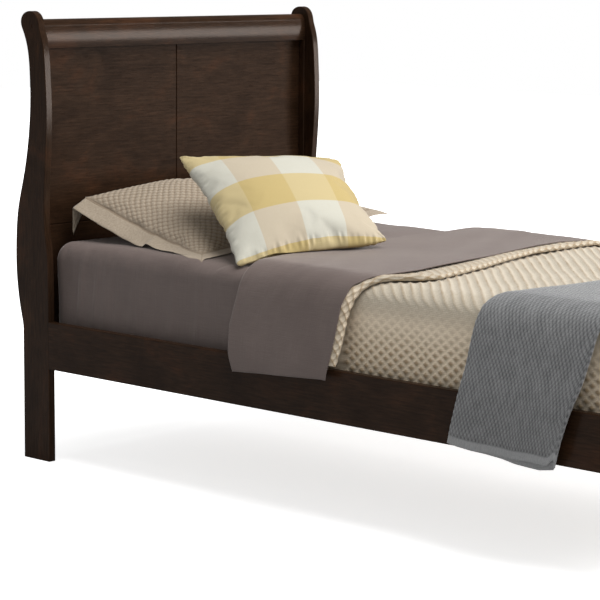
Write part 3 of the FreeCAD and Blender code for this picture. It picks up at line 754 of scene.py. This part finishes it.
def make_flat_sheet():
    m = 281
    across = np.linspace(-1, 1, m)
    top_rows, turn_rows, back_rows, foot_rows = 84, 11, 70, 14
    n = top_rows + turn_rows + back_rows + foot_rows
    hem_turn = 0.346
    q = across * float(hanging.to_height(hem_turn))
    head, free = flap_edges(q)
    fold = 0.008
    y, out = np.zeros((n, m)), np.zeros((n, m))
    hang, hem, tuck = np.ones(n), np.full(n, hem_turn), np.zeros(n)
    t = np.linspace(0, 1, top_rows)[:, None]
    y[:top_rows] = free + (head - fold - free) * t
    out[:top_rows] = FLAP_OUT
    angle = np.linspace(math.pi / 2, -math.pi / 2, turn_rows)[:, None]
    k = top_rows + turn_rows
    turn, back, foot = slice(top_rows, k), slice(k, k + back_rows), slice(k + back_rows, n)
    radius, middle = (FLAP_OUT - FOLD_LOW) / 2, (FLAP_OUT + FOLD_LOW) / 2
    y[turn] = head - fold + fold * np.cos(angle)
    out[turn] = middle + radius * np.sin(angle)
    b = np.linspace(0.01, 1, back_rows)[:, None]
    y[back] = (head - fold) * (1 - b) + FOOT_END * b
    out[back] = FOLD_LOW
    hang[back] = 1 - ease(b[:, 0], 0.0, 0.12)
    hem[back] = 0.400 - 0.072 * ease(b[:, 0], 0.12, 0.25)
    hem[turn] = np.linspace(hem_turn, 0.400, turn_rows)
    y[foot] = FOOT_END
    out[foot] = FOLD_LOW
    hang[foot] = 0
    hem[foot] = 0.328
    tuck[foot] = np.linspace(0.02, 1.0, foot_rows)
    # The near hem slopes: lowest at the head end.
    low = np.where(across < 0, 1.0, 0.6)
    outer = (np.arange(n) < k)[:, None]
    hem_grid = hem[:, None] + low * (0.018 * (1 - np.clip((y + 0.06) / 0.31, 0, 1)) - 0.006) * outer
    points, normal, distance = lay(np.arange(n), across, hang, out, hem_grid, y)
    close_foot(points, tuck[:, None], 0.99)
    # Soft folds: upright waves on the drop, slanting pulls from the shoulder, a calm top.
    drop = ease(np.abs(q), 0.50, 0.74) * outer
    wave = noise(y / 0.085, q / 0.5, 21) * 0.0055 + noise(y / 0.036, q / 0.35, 22) * 0.0016
    shoulder = bump(np.abs(q), 0.50, 0.09) * outer
    slant = noise((y + 0.8 * q) / 0.030, (y - q) / 0.20, 23) * 0.0020 * ease(y, -0.02, 0.20)
    top = outer * (1 - ease(np.abs(q), 0.46, 0.52))
    calm = noise(y / 0.16, q / 0.22, 24) * 0.0030 + noise((y - 0.4 * q) / 0.06, q / 0.24, 25) * 0.0012
    edge_lift = 0.0045 * drop * np.exp(-np.abs(y - free) / 0.045)
    shift = drop * wave + shoulder * slant + top * calm + edge_lift
    points += normal * np.maximum(shift, -0.0025)[..., None]
    uv = cloth_uv(distance, points[:, m // 2])
    mesh = grid_mesh("sheet_flat", points, uv)
    o = new_object("sheet_flat", mesh, "mattress_set", TAUPE)
    thicken(o, 0.0014)
    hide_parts("top_sheet")


def make_throw():
    hem_height = 0.262
    step_s = 0.0024
    half_length = float(hanging.to_height(hem_height))
    m = 2 * int(round(half_length / step_s)) + 1
    across = np.linspace(-1, 1, m)
    q = across * half_length
    # Serpentine section, from the outermost layer inwards: rows of (place across the throw, out).
    outer = [(THROW_WIDE / 2 - d, 0.0) for d in np.linspace(0, THROW_WIDE, 131)]
    section, direction = list(outer), -1
    start_out = 0.0
    for layer in range(3):
        y_end = section[-1][0]
        section += half_turn_down(y_end, start_out, start_out - LAYER, direction)
        start_out -= LAYER
        direction = -direction
        shrink = 0.004 * (layer + 1)
        target = direction * (THROW_WIDE / 2 - shrink)
        section += [(at, start_out) for at in np.linspace(y_end + direction * 0.004, target, 8)]
    section = np.array(section)
    v = section[:, :1]
    n = len(section)
    count = len(outer)
    centre = read(THROW_MIDDLE, q)
    narrow = 1 - 0.19 * ease(np.abs(q), 0.54, 0.82) * (v < 0)
    y = centre + v * narrow + 0.004 * noise(q / 0.12, 0, 31)
    out = THROW_OUT + section[:, 1:] * np.ones((1, m))
    hem = hem_height + 0.004 - 0.018 * ease(-v, -0.14, 0.16) * np.ones((1, m))
    hem += 0.010 * noise(v / 0.10, across * 0.5, 32)
    sag = 0.35 + 0.65 * ease(-v, -0.10, 0.10)
    hem += 0.016 * ease(-v, 0.130, 0.1625) ** 2
    hem[count:] -= np.linspace(0.006, 0.020, n - count)[:, None] * sag[count:]
    points, normal, distance = lay(section, across, np.ones(n), out, hem, y)
    # The cloth billows a little where it hangs, and rounds at its folded long edges.
    drop = ease(np.abs(q), 0.52, 0.80)
    billow = noise(y / 0.14, q / 0.3, 33) * 0.004 * drop
    shown = (np.arange(n) < count)[:, None]
    edge = bump(np.abs(v), THROW_WIDE / 2, 0.02) * shown
    flare = 0.007 * ease(np.abs(q), 0.70, 0.82) * shown
    points += normal * (billow + flare - 0.0035 * edge)[..., None]
    # Knit: small stitches in rows, with slanting ribs.
    width_at = np.tile(v, (1, m))
    d = np.tile(np.abs(q), (n, 1))
    sway = 0.0012 * noise(width_at / 0.03, d / 0.03, 34)
    stitch = np.cos(2 * math.pi * (width_at + sway) / 0.0100) * np.cos(2 * math.pi * (d + sway) / 0.0170)
    stitch = 0.5 + 0.5 * stitch
    uneven = 0.5 + 0.5 * noise(width_at / 0.012, d / 0.018, 35)
    hem_band = np.tile(ease(np.abs(across), 1 - 0.021 / half_length, 1 - 0.018 / half_length), (n, 1))
    # The relief also sets the painted shade between the stitches; on the hem band its own plainer colour
    # takes over.
    relief = (0.80 * stitch + 0.20 * uneven) * (1 - hem_band)
    points += normal * (0.0022 * (relief - 0.5) * shown)[..., None]
    seam = bump(1 - np.abs(across), 0.022 / half_length, 0.0025 / half_length)
    points -= normal * (0.0012 * seam * shown)[..., None]
    uv = cloth_uv(distance, section)
    mesh = grid_mesh("throw_knit", points[::-1], uv[::-1], {"relief": relief[::-1], "hem": hem_band[::-1]})
    o = new_object("throw_knit", mesh, "mattress_set", GREY)
    thicken(o, 0.0026)
    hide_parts("throw_blanket")


def half_turn_down(y, high, low, side, steps=6):
    """Rows of a fold at y from the upper layer to the lower one, bulging to the side."""
    radius, middle = (high - low) / 2, (high + low) / 2
    return [(y + side * radius * math.sin(a), middle + radius * math.cos(a))
            for a in np.linspace(0.2, math.pi - 0.2, steps)]


# ---- pillows
def closed_grids(name, front, back, uv):
    """One closed mesh from two grids that share their outer ring."""
    n, m = front.shape[:2]
    ring = np.zeros((n, m), bool)
    ring[0], ring[-1], ring[:, 0], ring[:, -1] = True, True, True, True
    k = np.arange(n * m).reshape(n, m)
    back_id = k.copy()
    back_id[~ring] = n * m + np.arange((~ring).sum())
    points = np.vstack([front.reshape(-1, 3), back[~ring]])
    flat = np.vstack([uv.reshape(-1, 2), uv[~ring]])

    def quads(g):
        return np.stack([g[:-1, :-1], g[:-1, 1:], g[1:, 1:], g[1:, :-1]], -1).reshape(-1, 4)

    # The first axis runs along x and the second along y, so this order faces the front out.
    faces = np.vstack([quads(k)[:, ::-1], quads(back_id)])
    mesh = raw_mesh(name, points, faces)
    add_uv(mesh, flat)
    return mesh, k, back_id


def calm_shape(a, b, width, length, puff):
    """A filled cushion with no wrinkles, pulled in between its corners: front and back grids."""
    full = puff / 2 * (np.maximum(1 - a**2, 0) * np.maximum(1 - b**2, 0)) ** 0.58
    x = a * width / 2 * (1 - 0.035 * (1 - b**2))
    y = b * length / 2 * (1 - 0.035 * (1 - a**2))
    return np.stack([x, y, full], -1), np.stack([x, y, -full], -1)


def inflate(width, length, cell, pressure, frames, puff, even):
    """Two flat cloths sewn at the rim and blown up, then evened out by that share: front and back grids."""
    n, m = int(round(width / cell)) + 1, int(round(length / cell)) + 1
    a, b = np.meshgrid(np.linspace(-1, 1, n), np.linspace(-1, 1, m), indexing="ij")
    lens = (1 - a**2) * (1 - b**2)
    front = np.stack([a * width / 2, b * length / 2, 0.012 * np.sqrt(lens)], -1)
    back = front * (1, 1, -1)
    mesh, k, back_id = closed_grids("blown", front, back, front[..., :2])
    o = place("blown", mesh)
    scene = bpy.context.scene
    cloth = o.modifiers.new("Cloth", "CLOTH")
    settings = {"quality": 8, "mass": 0.15, "tension_stiffness": 25, "compression_stiffness": 25,
                "shear_stiffness": 12, "bending_stiffness": 0.25, "tension_damping": 12,
                "compression_damping": 12, "air_damping": 3, "use_pressure": True,
                "uniform_pressure_force": pressure}
    for key, value in settings.items():
        setattr(cloth.settings, key, value)
    cloth.settings.effector_weights.gravity = 0
    cloth.collision_settings.use_collision = False
    cloth.point_cache.frame_end = frames
    for f in range(1, frames + 1):
        scene.frame_set(f)
    graph = bpy.context.evaluated_depsgraph_get()
    p = mesh_points(o.evaluated_get(graph).data)
    scene.frame_set(1)
    bpy.data.objects.remove(o)
    front, back = p[k], p[back_id]
    thick = (front[..., 2] - back[..., 2]).max()
    scale = np.array([1, 1, puff / thick])
    calm, back_calm = calm_shape(a, b, width, length, puff)
    return ((1 - even) * front * scale + even * calm, (1 - even) * back * scale + even * back_calm)


def refine(o):
    m = o.modifiers.new("smooth", "SUBSURF")
    m.levels = m.render_levels = 2
    m.uv_smooth = "PRESERVE_BOUNDARIES"
    apply_modifiers(o)


def make_accent():
    size = ACCENT_SIZE
    front, back = inflate(size, size, 0.0090, 6, 34, 0.155, 0.62)
    n, m = front.shape[:2]
    a, b = np.meshgrid(np.linspace(-1, 1, n), np.linspace(-1, 1, m), indexing="ij")
    # Its lower edge sags between the corners.
    sag = 0.022 * (1 - a**2) * np.clip(-b, 0, 1) ** 2
    uv = np.stack([a * size / 2, b * size / 2 - sag], -1)
    for cloth in (front, back):
        cloth[..., 1] -= sag
    # A place for each corner, as (left or right, bottom or top).
    corners = {(-1, -1): (-0.485, 0.288, 0.586), (1, -1): (-0.107, 0.122, 0.630),
               (1, 1): (0.077, 0.448, 0.806), (-1, 1): (-0.334, 0.650, 0.825)}
    c = np.array(list(corners.values()))
    centre = c.mean(0)
    x_axis = (c[1] + c[2] - c[0] - c[3]) / 2
    y_axis = (c[2] + c[3] - c[0] - c[1]) / 2
    x_axis /= np.linalg.norm(x_axis)
    y_axis -= x_axis * (x_axis @ y_axis)
    y_axis /= np.linalg.norm(y_axis)
    turn = np.stack([x_axis, y_axis, np.cross(x_axis, y_axis)])

    # The corners are drawn to their own places, and the rest follows in proportion.
    rim = {k: front[(0 if k[0] < 0 else -1), (0 if k[1] < 0 else -1)] @ turn + centre for k in corners}

    def draw(p):
        q = p @ turn + centre
        for k, goal in corners.items():
            share = (1 + k[0] * a) / 2 * (1 + k[1] * b) / 2
            q += share[..., None] * (np.array(goal) - rim[k])
        return q

    mesh, _, _ = closed_grids("cushion_check", draw(front), draw(back), uv)
    o = new_object("cushion_check", mesh, "accent", CHECK)
    refine(o)
    p, uvp, nrm = mesh_points(o.data), point_uv(o.data), point_normals(o.data)
    # Puckers drawn in by the seam.
    rim_u, rim_v = size / 2 - np.abs(uvp.T)
    rim_near = np.minimum(rim_u, rim_v)
    along = np.where(rim_u < rim_v, uvp[:, 1], uvp[:, 0])
    pucker = noise(along / 0.009, rim_near / 0.05, 41) * 0.0022 * bump(rim_near, 0.008, 0.014)
    dimple = noise(along / 0.035, rim_near / 0.08, 42) * 0.0035 * bump(rim_near, 0.03, 0.035)
    p += nrm * (pucker + dimple)[:, None]
    p[:, 2] = soft_floor(p[:, 2], support(p[:, 0], p[:, 1]))
    set_points(o.data, p)
    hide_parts("accent_pillow")


def soft_floor(z, floor, blend=0.012):
    """z, kept above the floor, with a rounded turn where it meets it."""
    d = z - floor
    return floor + np.where(d > blend, d, np.where(d > -blend, (d + blend) ** 2 / (4 * blend), 0.0)) + 0.0015


def support(x, y):
    """The height of the bedding that the pillows rest on."""
    on_flap = FLAP_OUT + 0.5930 + 0.003
    plain = SHEET_TOP + 0.002 + PLUMP * ease(y, 0.30, 0.55)
    high = plain + (on_flap - plain) * (1 - ease(y, 0.245, 0.285))
    return high - 0.06 * ease(np.abs(x), 0.455, 0.53)


def make_sham():
    wide, deep, flange, cell = 0.680, 0.490, 0.048, 0.0105
    front, back = inflate(wide, deep, cell, 4, 30, 0.130, 0.45)
    n, m = front.shape[:2]
    extra = 4
    i = np.clip(np.arange(-extra, n + extra), 0, n - 1)
    j = np.clip(np.arange(-extra, m + extra), 0, m - 1)
    out_x = (np.arange(-extra, n + extra) - i) / extra
    out_y = (np.arange(-extra, m + extra) - j) / extra
    gx, gy = np.meshgrid(out_x, out_y, indexing="ij")
    a, b = np.meshgrid(np.linspace(-1, 1, n)[i], np.linspace(-1, 1, m)[j], indexing="ij")
    reach = np.maximum(np.abs(gx), np.abs(gy))

    def widen(grid, lift):
        p = grid[np.ix_(i, j)].copy()
        p[..., 0] += flange * (gx + 0.9 * a * (reach - np.abs(gx)) * flange / (wide / 2))
        p[..., 1] += flange * (gy + 0.9 * b * (reach - np.abs(gy)) * flange / (deep / 2))
        p[..., 2] += np.where(reach > 0, lift * (1 - (reach >= 1)), lift * 0.6)
        return p

    f, r = widen(front, 0.0012), widen(back, -0.0012)
    uv = np.stack([a * wide / 2 + gx * flange, b * deep / 2 + gy * flange], -1)
    mesh, _, _ = closed_grids("cushion_sham", f, r, uv)
    o = new_object("cushion_sham", mesh, "sham", BEIGE)
    refine(o)
    p, uvp = mesh_points(o.data), point_uv(o.data)
    u, v = uvp.T
    past_u, past_v = np.abs(u) - wide / 2, np.abs(v) - deep / 2
    outside = np.maximum(past_u, past_v)
    x, y, z = p.T
    # It leans on the headboard: the middle of the back edge stands highest.
    t = (y + (deep / 2 + flange)) / (deep + flange)
    wx = SHAM_X + x - SHAM_SKEW * (1 - t)
    off_centre = np.clip((x / 0.39) ** 2, 0, 1)
    back_high = 0.688 + 0.044 * (1 - off_centre)
    base = 0.588 + (back_high - 0.588) * np.clip(t, 0, 1.2) ** (1.05 + 1.15 * off_centre * (x < 0))
    base += 0.062 * ease(x, 0.10, 0.34) * (1 - 0.55 * t)
    slope = math.atan2(0.10, 0.52)
    # The flange droops, kinks half way along the near side, and turns down at the headboard.
    past = np.maximum(outside, 0)
    left = np.clip(-u - wide / 2, 0, flange)
    droop = -0.40 * left - 0.10 * past
    curl = ease(v, -0.020, -0.036) * np.exp(np.minimum(v + 0.036, 0) / 0.09)
    kink = (0.013 * curl - 0.008 * bump(v, -0.005, 0.03)) * left / flange
    wavy = 0.004 * noise(v / 0.05, u / 0.05, 51) * past / flange
    wy = SHAM_Y + y * math.cos(slope) - z * math.sin(slope) * 0.6
    wz = base + z * math.cos(slope) + droop + kink + wavy
    # Behind the back seam the flange turns down, and its near corner hangs lowest.
    behind = np.clip(v - deep / 2, 0, flange)
    wy -= 0.75 * behind
    wz -= behind * (0.95 + 0.9 * left / flange)
    wz = np.where(wz < support(wx, wy) + 0.012, soft_floor(wz, support(wx, wy)), wz)
    p = np.stack([wx, wy, wz], 1)
    set_points(o.data, p)
    nrm = point_normals(o.data)
    # Waffle quilting on the body, a sunk seam round it, and mitres across the flange's corners.
    cell_q = 0.0225
    qa = math.pi * (u + v) / cell_q + 0.45 * noise(u / 0.04, v / 0.04, 52)
    qb = math.pi * (u - v) / cell_q + 0.45 * noise(u / 0.04, v / 0.04, 53)
    puff = np.sqrt(np.abs(np.sin(qa) * np.sin(qb)))
    quilted = ease(-outside, 0.0, 0.012)
    seam = bump(outside, 0.0, 0.0035)
    mitre = bump(np.abs(past_u - past_v), 0, 0.002) * (past_u > 0) * (past_v > 0)
    p = p + nrm * (0.0030 * (puff - 0.4) * quilted - 0.0025 * seam - 0.0012 * mitre)[:, None]
    set_points(o.data, p)
    # The relief value also sets painted shade: darker in the waffle hollows, darker still in the sunk seam
    # and the mitres.
    relief = np.where(outside < 0, puff * quilted + 0.7 * (1 - quilted), 0.75)
    add_value(o.data, "relief", relief * (1 - 0.8 * seam) * (1 - 0.6 * mitre))
    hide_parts("sham_pillow")


make_mattress()
make_fitted_sheet()
make_flat_sheet()
make_coverlet()
make_throw()
make_sham()
make_accent()


# ---- stage, light and camera
def make_stage():
    s = Shader("studio_floor", Specular_IOR_Level=0.2)
    speck = s.noise(s.here(), 6, 4)
    white = s.ramp(speck, (0.3, (0.86, 0.86, 0.86)), (0.7, (0.89, 0.89, 0.89)))
    s.finish(white, s.between(speck, 0.3, 0.7, 0.7, 0.8))
    s.main.inputs["Emission Color"].default_value = (1, 1, 1, 1)
    s.main.inputs["Emission Strength"].default_value = 0.70
    # The floor throws back less light than it shows, as a darker studio floor would.
    bounce = s.node("ShaderNodeBsdfDiffuse", (0.42, 0.42, 0.42, 1)).outputs[0]
    seen = s.node("ShaderNodeLightPath").outputs["Is Camera Ray"]
    s.put(s.node("ShaderNodeMixShader", seen, bounce, s.main.outputs[0]).outputs[0],
          s.nodes["Material Output"].inputs["Surface"])
    bm = bmesh.new()
    bmesh.ops.create_grid(bm, x_segments=8, y_segments=8, size=14)
    mesh = bpy.data.meshes.new("studio_floor")
    bm.to_mesh(mesh)
    bm.free()
    mesh.materials.append(s.material)
    floor = place("studio_floor", mesh)
    floor.location.z = -0.0005


def place_light(name, data, direction, shine, light_up=True, where=(0, 0, 0)):
    o = place(name, data)
    o.location = where
    o.rotation_euler = direction.to_track_quat("-Z", "Y").to_euler()
    o.visible_glossy, o.visible_diffuse = shine, light_up


def make_light(name, where, aim, size, power, colour=(1, 1, 1), shine=True, light_up=True):
    light = bpy.data.lights.new(name, "AREA")
    light.shape, light.size, light.size_y = "RECTANGLE", *size
    light.energy, light.color = power, colour
    place_light(name, light, Vector(aim) - Vector(where), shine, light_up, where)


def make_sun(name, direction, strength, angle):
    light = bpy.data.lights.new(name, "SUN")
    light.energy, light.angle = strength, math.radians(angle)
    place_light(name, light, Vector(direction), shine=False)


def make_world():
    """Surroundings that show white, light the bed softly, and shine only a little in its lacquer."""
    world = bpy.data.worlds.new("studio")
    bpy.context.scene.world = world
    world.use_nodes = True
    nodes, links = world.node_tree.nodes, world.node_tree.links
    background = nodes["Background"]
    seen = nodes.new("ShaderNodeLightPath")
    glossy, shown = nodes.new("ShaderNodeMapRange"), nodes.new("ShaderNodeMapRange")
    glossy.inputs["To Min"].default_value = AMBIENT
    glossy.inputs["To Max"].default_value = GLOSS
    links.new(seen.outputs["Is Glossy Ray"], glossy.inputs["Value"])
    links.new(seen.outputs["Is Camera Ray"], shown.inputs["Value"])
    links.new(glossy.outputs[0], shown.inputs["To Min"])
    links.new(shown.outputs[0], background.inputs["Strength"])
    background.inputs["Color"].default_value = (1, 1, 1, 1)


make_stage()
make_world()
make_sun("overhead_light", (-0.10, 0.42, -1.0), 3.40, 50)
make_light("key_light", (4.2, -3.2, 2.3), (0, 0.7, 0.9), (1.4, 1.3), 170, shine=False)
make_light("shine_light", (3.9, -3.2, 1.15), (0, 0.9, 1.1), (2.2, 1.6), 160, WARM, light_up=False)

camera_data = bpy.data.cameras.new("camera")
camera_data.lens, camera_data.sensor_width = LENS, SENSOR
camera = place("camera", camera_data)
forward = Vector((-math.sin(TURN) * math.cos(DOWN), math.cos(TURN) * math.cos(DOWN), -math.sin(DOWN)))
level_right = Vector((math.cos(TURN), math.sin(TURN), 0))
level_up = level_right.cross(forward)
right = level_right * math.cos(ROLL) + level_up * math.sin(ROLL)
up = level_up * math.cos(ROLL) - level_right * math.sin(ROLL)
camera.matrix_world = Matrix.Translation(EYE) @ Matrix((right, up, -forward)).transposed().to_4x4()
bpy.context.scene.camera = camera
bpy.context.scene.view_settings.view_transform = "Standard"
